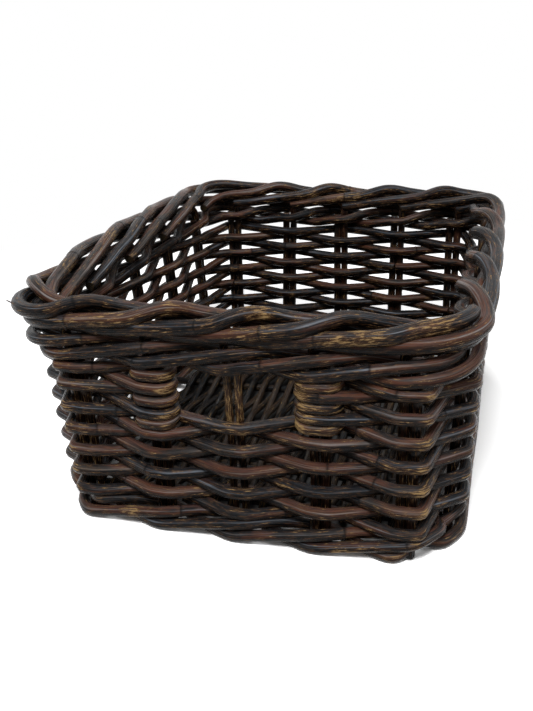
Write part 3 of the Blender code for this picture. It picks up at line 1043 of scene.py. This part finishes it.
@dataclass
class StakePairs:
    """Upright canes in pairs, with the strand of the border that one of each pair goes on as.

    Attributes:
        bend: How far either side of a corner a strand bends.
        bend_steps: Points on a stake's bend into the border.
        steps: Points of a strand from one pair to the next.
        strand_share: Thickness of a strand, as a share of the solids' one.
        strand_sway: How far a strand strays from its line.
        strand_swell: Share by which its thickness varies.
        foot_share: Thickness of the same cane in the wall, as a share of the strand's.
        foot_end: How far under the border it starts to grow thicker.
        tail_share: Share of the thickness that a strand thins down to.
        short_share: Thickness of a pair's other cane, as a share of the solids' one.
        short_sway: How far that one strays from its line.
        short_drop: How far under the upper band's top it is cut off.
        slim_pair: Pair whose canes are slimmer, and how much.
        loose_pair: Pair near which a thin end sticks out, and how far past it.
        loose_marks: Course of that end: way past the place, distance out and height over the border's middle.
        loose_end: Its thickness.
    """

    sizes: BasketSizes
    wall: WallLine
    finish: CaneFinish
    bend: float = 0.005
    bend_steps: int = 4
    steps: int = 16
    strand_share: float = 1.10
    strand_sway: float = 0.0004
    strand_swell: float = 0.06
    foot_share: float = 0.70
    foot_end: float = 0.012
    tail_share: float = 0.86
    short_share: float = 0.87
    short_sway: float = 0.0002
    short_drop: float = 0.007
    slim_pair: tuple[int, float] = (2, 0.74)
    loose_pair: tuple[int, float] = (19, 0.55)
    loose_marks: tuple[Control, ...] = ((0.006, 0.004, 0.002), (0.0, 0.015, 0.003), (-0.002, 0.019, 0.005))
    loose_end: float = 0.0017

    def turned_line(self, number: int) -> np.ndarray:
        """Line of the stake that is turned down into the border.

        Args:
            number: Pair that it belongs to.

        Returns:
            World points from its foot to its tail.
        """
        size, wall = self.sizes, self.wall
        way = wall.pair_place(number)
        half = wall.half_pair(way)
        bend_start = size.border_low - size.bend_radius
        points = [wall.point(way, 0, height) - half for height in (size.stake_foot, bend_start)]
        for step in range(1, self.bend_steps + 1):
            angle = math.pi / 2 / self.bend_steps * step
            height = bend_start + size.bend_radius * math.sin(angle)
            ahead = wall.along(way) * size.bend_radius * (1 - math.cos(angle))
            points.append(wall.point(way, size.border_reach * math.sin(angle), height) + ahead - half)
        marks, outs, lifts = zip(*COURSES.get(number, Course.USUAL).value)
        last = EARLY_ENDS.get(number, marks[-1])
        for step in range(math.ceil(marks[0] * self.steps), round(last * self.steps) + 1):
            turns = step / self.steps
            out, lift = (float(np.interp(turns, marks, tenths)) * TENTH for tenths in (outs, lifts))
            points.append(wall.point(wall.pair_place(number + turns), out, size.border_low + lift))
        return rounded(evenly(points), self.bend)

    def short_line(self, number: int) -> np.ndarray:
        """Line of the stake that is cut off under the border.

        Args:
            number: Pair that it belongs to.

        Returns:
            World points from its foot to its top.
        """
        size = self.sizes
        way = self.wall.pair_place(number)
        heights = (size.stake_foot + size.clearance, size.band_top - self.short_drop)
        return evenly([self.wall.point(way, 0, height) + self.wall.half_pair(way) for height in heights])

    def splinter(self) -> Cane:
        """Thin loose end that sticks out at the left front corner.

        Returns:
            The loose end.
        """
        way = self.wall.pair_place(sum(self.loose_pair))
        middle = self.sizes.border_middle
        points = self.wall.points([(way + past, out, middle + up) for past, out, up in self.loose_marks])
        return Cane("splinter", evenly(points), self.loose_end, sides=8, ring_step=0.002,
                    tail_share=0.5, tail_length=0.012)

    def build(self) -> None:
        """Make all the pairs."""
        size = self.sizes
        for number in range(size.pairs):
            side, place = divmod(number, size.pairs_per_side)
            wall = Side(side).name.lower()
            slim = self.slim_pair[1] if number == self.slim_pair[0] else 1.0
            blunt = number in EARLY_ENDS or COURSES.get(number) is Course.KNOB
            canes = [
                Cane(f"turned {wall} {place}", self.turned_line(number), size.border_rod * self.strand_share,
                     self.wall, sway=self.strand_sway, swell=self.strand_swell,
                     foot_share=self.foot_share * slim, foot_length=size.border_low - self.foot_end,
                     tail_share=1.0 if blunt else self.tail_share),
                Cane(f"short {wall} {place}", self.short_line(number), size.stake * self.short_share * slim,
                     self.wall, sway=self.short_sway)]
            if number == self.loose_pair[0]:
                canes.append(self.splinter())
            dressed_piece(f"stakes_{wall}_{place + 1}", canes, self.finish, f"stake_pair_{wall}_{place + 1}")


# For the front pairs: row number, and how far the row lies over its even height in tenths of a millimetre.
ROW_LIFTS: dict[int, tuple[tuple[int, int], ...]] = {
    0: ((0, -2), (2, 28), (4, 18), (8, 10), (12, 6)),
    1: ((0, -6), (1, -14), (3, -42), (5, -30), (8, -12), (12, 0)),
    2: ((4, 4), (6, -4), (9, -6), (12, 0)),
    3: ((0, 16), (1, 32), (2, 42), (3, 48), (5, 30), (8, 10), (12, 0)),
    4: ((0, 6), (3, 10), (6, 2), (12, -4)),
}


@dataclass
class WovenRows:
    """Single canes woven in and out of the pairs, the top ones turned back at the hand hole.

    Attributes:
        bend: How far either side of a corner a row bends.
        flat_more: How much longer than the least the level stretch across a pair is.
        thick_share: Thickness of a row, as a share of the solids' one, and how far it varies.
        lift_stray: How far the rows on the other walls stray up or down at a pair.
        turn_steps: Straight stretches of half a turn round a pair.
        turn_start: First points of a turn: shares of the reach along the wall and out.
        extra_drop: How far under the lowest turned-back row one more winding lies.
        extra_tuck: How much lower its tucked end lies.
        extra_rise: Share of the drop that it climbs on its turn.
        extra_flare: Share by which it goes further out there.
        extra_end: Last points: share of the way past the pair, shares of the reach in and of the drop down.
    """

    sizes: BasketSizes
    wall: WallLine
    finish: CaneFinish
    bend: float = 0.0042
    flat_more: float = 0.0015
    thick_share: tuple[float, float] = (1.06, 0.03)
    lift_stray: float = 0.0005
    turn_steps: int = 8
    turn_start: tuple[tuple[float, float], ...] = ((0.98, 0.1), (0.9, -0.55), (0.5, -0.97))
    extra_drop: float = 0.0076
    extra_tuck: float = 0.001
    extra_rise: float = 0.3
    extra_flare: float = 0.8
    extra_end: tuple[Control, ...] = ((0.0, 1.9, 0.6), (1.0, 1.5, 0.4))

    @property
    def reach(self) -> float:
        """Distance from the stake line to a cane that lies against a pair."""
        size = self.sizes
        lean = math.cos(math.atan(size.wall_lean / size.top))
        return (size.stake + size.weaver) / 2 / lean + size.clearance / lean

    def turn_back(self, way: float, height: float, toward: int, face: int) -> list[Control]:
        """Cane wound round a pair at the hand hole, from its cut end on.

        Args:
            way: Place of the pair.
            height: Height of the row.
            toward: 1 where the wall lies at higher ways and -1 where it lies at lower ones.
            face: 1 where the cane sets off outside the pair and -1 where inside.

        Returns:
            Ways, distances outside the line and heights.
        """
        stake = self.sizes.pair_half
        reach = self.reach
        sector = math.pi / 2 / self.turn_steps
        corner = reach / math.cos(sector)
        controls = [(way + toward * (stake + reach * along), face * reach * out, height)
                    for along, out in self.turn_start]
        for step in range(1 - self.turn_steps, self.turn_steps, 2):
            angle = step * sector
            controls.append((way - toward * (stake + corner * math.cos(angle)),
                             face * corner * math.sin(angle), height))
        return controls

    def extra_turn(self, way: float, height: float, toward: int) -> list[Control]:
        """One more winding under the lowest turned-back row, from its tucked end on.

        Args:
            way: Place of the pair.
            height: Height of the row.
            toward: 1 where the wall lies at higher ways and -1 where it lies at lower ones.

        Returns:
            Ways, distances outside the line and heights.
        """
        drop, reach = self.extra_drop, self.reach
        controls = self.turn_back(way, height - drop, toward, -1)
        first = len(self.turn_start)
        controls[0] = (*controls[0][:2], controls[0][2] - self.extra_tuck)
        for step in range(self.turn_steps):
            share = step / (self.turn_steps - 1)
            place, out, low = controls[first + step]
            controls[first + step] = (place, out * (1 + self.extra_flare * share),
                                      low + drop * self.extra_rise * share)
        for along, inward, share in self.extra_end:
            past = toward * (self.sizes.pair_half + reach / 2) * along
            controls.append((way + past, -reach * inward, height - drop * share))
        return controls

    def lift(self, pair: int, row: int) -> float:
        """How far a row lies over its even height at a pair.

        Args:
            pair: Number of the pair.
            row: Number of the row from the top.

        Returns:
            The lift, in metres.
        """
        if pair not in ROW_LIFTS:
            return random.Random(f"lift {pair} {row}").uniform(-self.lift_stray, self.lift_stray)
        rows, lifts = zip(*ROW_LIFTS[pair])
        return float(np.interp(row, rows, lifts)) * TENTH

    def controls(self, row: int) -> list[Control]:
        """Course of one row's cane.

        Args:
            row: Number of the row from the top.

        Returns:
            Ways, distances outside the line and heights.
        """
        size, reach = self.sizes, self.reach
        half = size.flat_half(reach) + self.flat_more
        turned = row < size.handle_rows
        if turned:
            first, last = size.handle_pairs[1], size.handle_pairs[0] + size.pairs
        else:
            near = int(size.pairs * size.row_start_shares[row - size.handle_rows])
            first = near + (near + row + 1) % 2
            last = first + size.pairs
        controls: list[Control] = []
        for number in range(first, last + 1):
            way = self.wall.pair_place(number)
            height = size.top_row - size.row_pitch * row + self.lift(number % size.pairs, row)
            face = 1 if (number + row) % 2 == 0 else -1
            start = way + size.end_gap / 2 if number == first and not turned else way - half
            end = way - size.end_gap / 2 if number == last and not turned else way + half
            stretch = [(start, face * reach, height), (end, face * reach, height)]
            if turned and number in (first, last):
                toward = 1 if number == first else -1
                extra = self.extra_turn(way, height, toward) if row == size.handle_rows - 1 else []
                wound = extra + self.turn_back(way, height, toward, face)
                stretch = wound + stretch[1:] if number == first else stretch[:1] + wound[::-1]
            controls += stretch
        return controls

    def build(self) -> None:
        """Make all the rows."""
        share, vary = self.thick_share
        for row in range(self.sizes.rows):
            title = f"handle_row_{row + 1}" if row < self.sizes.handle_rows else f"full_row_{row + 1:02d}"
            line = rounded(evenly(self.wall.points(self.controls(row))), self.bend)
            thickness = self.sizes.weaver * (share + random.Random(f"row share {row}").uniform(-vary, vary))
            dressed_piece(f"row_cane_{row + 1:02d}", [Cane(f"row {row}", line, thickness, self.wall)],
                          self.finish, title)


@dataclass
class Wales:
    """Bands of three canes, each behind one pair and then over two while it climbs.

    Attributes:
        band_bend: How far either side of a corner a cane of the upper band bends.
        foot_bend: The same at the foot.
        sway: How far a cane strays from its line.
        swell: Share by which its thickness varies.
    """

    sizes: BasketSizes
    wall: WallLine
    finish: CaneFinish
    band_bend: float = 0.007
    foot_bend: float = 0.011
    sway: float = 0.0002
    swell: float = 0.04

    def controls(self, cane: int, low: float) -> list[Control]:
        """Ways, distances and heights of one cane of a band.

        Args:
            cane: Its number in the band.
            low: Height of the band's lowest centre line.

        Returns:
            The controls in order.
        """
        size = self.sizes
        reach = (size.stake + size.wale_rod) / 2 + 2 * size.clearance
        half = size.flat_half(reach)
        high = low + size.wale_rise
        middle = (low + high) / 2
        last = size.pairs + cane + 1 if cane < size.wale_canes - 1 else size.pairs
        controls: list[Control] = []
        for number in range(cane, last + 1):
            way = self.wall.pair_place(number)
            phase = (number - cane) % size.wale_canes
            onward = (way + self.wall.pair_place(number + 1)) / 2
            if phase == 0:
                start = way + size.end_gap / 2 if number == cane else way - half
                end = way - size.end_gap / 2 if number == last else way + half
                controls += [(start, -reach, middle), (end, -reach, middle)]
                if number < last:
                    controls.append((onward, 0, low))
            elif phase == 1:
                controls.append((way - half, reach, low))
            else:
                controls += [(way + half, reach, high), (onward, 0, high)]
        return controls

    def build(self) -> None:
        """Make the upper band, spaced evenly along the wall, and the foot, spaced evenly in space."""
        for title, low in (("upper", self.sizes.band_low), ("foot", self.sizes.round_foot_low)):
            for cane in range(self.sizes.wale_canes):
                controls = self.controls(cane, low)
                if title == "foot":
                    line = rounded(evenly(self.wall.points(controls)), self.foot_bend)
                else:
                    line = rounded(self.wall.points(evenly(controls)), self.band_bend)
                made = Cane(f"{title} {cane}", line, self.sizes.wale_rod, self.wall,
                            sway=self.sway, swell=self.swell)
                dressed_piece(f"{title}_band_{cane + 1}", [made], self.finish, f"{title}_wale_{cane + 1}")


@dataclass
class WovenBase:
    """Cross sticks and the thin cane that runs to and fro through them.

    Attributes:
        bend: How far either side of a corner the thin cane bends.
        flat: Half the stretch on which it lies level over a stick.
        edge_share: Room for its turn round an edge stick, as a share of its swing.
        turn_steps: Straight stretches of that turn.
        stick_sway: How far a stick strays from its line.
        sway: How far the thin cane does.
        sides: Flats round the thin cane.
    """

    sizes: BasketSizes
    wall: WallLine
    finish: CaneFinish
    bend: float = 0.005
    flat: float = 0.003
    edge_share: float = 1.11
    turn_steps: int = 8
    stick_sway: float = 0.0003
    sway: float = 0.0002
    sides: int = 12

    @property
    def swing(self) -> float:
        """How far the thin cane passes above and below the middle of a stick."""
        size = self.sizes
        slant = math.atan((size.base_stick + size.base_weaver) / size.side_pitch)
        return ((size.base_stick + size.base_weaver) / 2 + size.clearance) / math.cos(slant)

    @property
    def middle(self) -> float:
        """Height of the middle of the sticks."""
        return self.sizes.base_foot + self.sizes.base_weaver / 2 + self.swing

    @property
    def inside(self) -> float:
        """Distance from the stake line to the inner face of the foot."""
        return self.sizes.stake / 2 + self.sizes.wale_rod + 3 * self.sizes.clearance

    def stick_rows(self) -> list[float]:
        """Places of the sticks from front to back."""
        size = self.sizes
        edge = size.foot_depth / 2 - self.inside - size.base_weaver / 2 - self.swing * self.edge_share
        inner = size.base_sticks - 2
        return [-edge] + [(n - (inner - 1) / 2) * size.side_pitch for n in range(inner)] + [edge]

    def weaver_line(self) -> np.ndarray:
        """Line of the thin cane from its first end to its last.

        Returns:
            World points, one to a row.
        """
        size, swing, middle = self.sizes, self.swing, self.middle
        half_width = size.foot_width / 2 - self.inside - size.base_weaver / 2
        runs = 2 * math.ceil(half_width / size.base_pitch) + 1
        pitch = 2 * half_width / (runs - 1)
        points = []
        for run in range(runs):
            along = -half_width + pitch * run
            heading = 1 if run % 2 == 0 else -1
            order = list(enumerate(self.stick_rows()))[::heading]
            for place, (index, row) in enumerate(order):
                rise = swing if (index + run) % 2 == 0 else -swing
                starts, ends = place == 0, place == len(order) - 1
                if (not starts or run == 0) and (not ends or run == runs - 1):
                    points += [(along, row - self.flat * heading, middle + rise),
                               (along, row + self.flat * heading, middle + rise)]
            if run < runs - 1:
                edge = order[-1][1]
                for step in range(self.turn_steps + 1):
                    angle = math.pi / 2 - math.pi * step / self.turn_steps
                    points.append((along + pitch * step / self.turn_steps,
                                   edge + math.copysign(swing, edge) * math.cos(angle),
                                   middle + rise * math.sin(angle)))
        return rounded(evenly(points), self.bend)

    def build(self) -> None:
        """Make the sticks and the thin cane."""
        size = self.sizes
        for number, place in enumerate(self.stick_rows()):
            low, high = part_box(f"base_stick_{number + 1}")
            line = evenly([(low.x, place, self.middle), (high.x, place, self.middle)])
            stick = Cane(f"stick {number}", line, size.base_stick, sway=self.stick_sway)
            dressed_piece(f"base_cross_{number + 1}", [stick], self.finish, f"base_stick_{number + 1}")
        thin = Cane("thin cane", self.weaver_line(), size.base_weaver, sides=self.sides, sway=self.sway)
        dressed_piece("base_runs", [thin], self.finish, "base_weaver")


@dataclass(frozen=True)
class Lamp:
    """Square soft box that is aimed at the basket, with its place, size and power."""

    name: str
    place: tuple[float, float, float]
    size: float
    power: float


@dataclass(frozen=True)
class Studio:
    """Floor, lamps, background and camera.

    Attributes:
        floor_half: Half the floor's width.
        floor_and_shadow_grey: Grey of the floor for the light that it gives back, and of the painted shadow
            under the basket.
        floor_bright: How bright the camera sees it where it takes the shadow.
        painted_shadow_half: Half the width and depth of the painted shadow under the basket.
        painted_shadow_edge: Where that painted shadow ends, as shares of its half.
        white_edge: Distances between which the floor turns plain white.
        world_light: Strength of the background's light.
        aim: Point that the lamps are aimed at.
        focal_pixels: Focal length in pixels of the frame.
        frame_pixels: Width and height of the frame.
        yaw: Turn of the camera to the right, in radians.
        pitch: Tilt down.
        roll: Tilt sideways.
    """

    floor_half: float = 40.0
    floor_and_shadow_grey: float = 0.25
    floor_bright: float = 2.35
    # Size and edge of the painted shadow under the basket.
    painted_shadow_half: tuple[float, float] = (0.130, 0.170)
    painted_shadow_edge: tuple[float, float] = (0.90, 1.02)
    white_edge: tuple[float, float] = (0.35, 0.75)
    world_light: float = 0.21
    lamps: tuple[Lamp, ...] = (
        Lamp("key", (0.15, -1.20, 1.45), 0.40, 19.5), Lamp("back", (-0.4, 0.9, 1.6), 0.60, 7.0),
        Lamp("side", (1.5, -0.6, 0.8), 0.50, 3.0))
    aim: tuple[float, float, float] = (0, 0, 0.08)
    sensor: float = 36.0
    clip: tuple[float, float] = (0.05, 200.0)
    focal_pixels: float = 850.0
    frame_pixels: tuple[int, int] = (533, 711)
    camera_place: tuple[float, float, float] = (0.1633, -0.6549, 0.3515)
    yaw: float = -0.2878
    pitch: float = 0.4033
    roll: float = -0.0389

    def lay_floor(self) -> None:
        """Pale floor that keeps the basket's shadow, with a painted shadow under the basket where the camera
        sees it.
        """
        mesh = bmesh.new()
        bmesh.ops.create_grid(mesh, x_segments=1, y_segments=1, size=self.floor_half)
        data = mesh_data(mesh, "floor")
        material = bpy.data.materials.new("pale floor")
        wire = cleared(material)
        grey = (self.floor_and_shadow_grey,) * 3
        lighting = wire.node("ShaderNodeBsdfDiffuse", {"Color": (*grey, 1)})
        place = wire.node("ShaderNodeTexCoord").outputs["Object"]
        split = wire.node("ShaderNodeSeparateXYZ", {0: place}).outputs
        # Painted shadow: where the camera sees it, the floor is grey under the basket and bright round it.
        shares = [wire.math("DIVIDE", wire.math("ABSOLUTE", split[axis]), half)
                  for axis, half in zip("XY", self.painted_shadow_half)]
        under = wire.ramp(wire.math("MAXIMUM", *shares), *self.painted_shadow_edge)
        near = wire.node("ShaderNodeBsdfDiffuse", {"Color": wire.mix(under, grey, (self.floor_bright,) * 3)})
        far = wire.node("ShaderNodeEmission", {"Color": (1, 1, 1, 1), "Strength": 1.0})
        away = wire.node("ShaderNodeVectorMath", {0: place}, operation="LENGTH").outputs["Value"]
        shown = wire.node("ShaderNodeMixShader", {0: wire.ramp(away, *self.white_edge), 1: near.outputs[0],
                                                  2: far.outputs[0]})
        mixed = wire.node("ShaderNodeMixShader", {0: wire.seen(), 1: lighting.outputs[0], 2: shown.outputs[0]})
        wire.node("ShaderNodeOutputMaterial", {"Surface": mixed.outputs[0]})
        data.materials.append(material)
        placed("floor", data)

    def light_world(self) -> None:
        """White background that lights the basket softly."""
        world = bpy.data.worlds.new("studio")
        bpy.context.scene.world = world
        wire = cleared(world)
        strength = wire.node("ShaderNodeMapRange", {"Value": wire.seen(), "To Min": self.world_light})
        light = wire.node("ShaderNodeBackground", {"Color": (1, 1, 1, 1), "Strength": strength.outputs[0]})
        wire.node("ShaderNodeOutputWorld", {"Surface": light.outputs[0]})

    def hang_lamps(self) -> None:
        """Soft boxes above and beside the basket."""
        for lamp in self.lamps:
            data = bpy.data.lights.new(lamp.name, "AREA")
            data.energy, data.size = lamp.power, lamp.size
            box = placed(lamp.name, data)
            box.location = lamp.place
            aim = Vector(self.aim) - Vector(lamp.place)
            box.rotation_euler = aim.to_track_quat("-Z", "Y").to_euler()

    def set_camera(self) -> None:
        """Camera at the photograph's place."""
        data = bpy.data.cameras.new("camera")
        data.sensor_width = self.sensor
        data.lens = self.focal_pixels / max(self.frame_pixels) * self.sensor
        data.clip_start, data.clip_end = self.clip
        ahead = Vector((math.sin(self.yaw) * math.cos(self.pitch), math.cos(self.yaw) * math.cos(self.pitch),
                        -math.sin(self.pitch)))
        right = Vector((math.cos(self.yaw), -math.sin(self.yaw), 0))
        up = right.cross(ahead)
        rolled_right = right * math.cos(self.roll) + up * math.sin(self.roll)
        rolled_up = up * math.cos(self.roll) - right * math.sin(self.roll)
        turned = Matrix((rolled_right, rolled_up, -ahead)).transposed()
        camera = placed("camera", data)
        camera.matrix_world = Matrix.Translation(self.camera_place) @ turned.to_4x4()
        bpy.context.scene.camera = camera

    def build(self) -> None:
        """Set the whole stage."""
        self.lay_floor()
        self.light_world()
        self.hang_lamps()
        self.set_camera()
        bpy.context.scene.view_settings.view_transform = "Standard"


def main() -> None:
    """Build the basket part by part, then its stage."""
    logging.basicConfig(level=logging.INFO, format="%(message)s")
    sizes = BasketSizes()
    wall = WallLine(sizes)
    effects = CaneEffects()
    # The stakes get the strongest painted highlights; the base gets little dust, painted sheen and painted
    # highlight.
    stake_finish = CaneFinish("stained stake cane", "stake_cane", effects, polish=1.0)
    weaver_finish = CaneFinish("stained row cane", "weaver_cane", effects)
    wale_finish = CaneFinish("stained band cane", "wale_cane", effects)
    base_finish = CaneFinish("stained base cane", "base_cane", effects, red=(0.038, 0.021, 0.012),
                             wear=0.25, dust=0.05, polish=0.25)
    StakePairs(sizes, wall, stake_finish).build()
    WovenRows(sizes, wall, weaver_finish).build()
    Wales(sizes, wall, wale_finish).build()
    WovenBase(sizes, wall, base_finish).build()
    Studio().build()


if __name__ == "__main__":
    main()
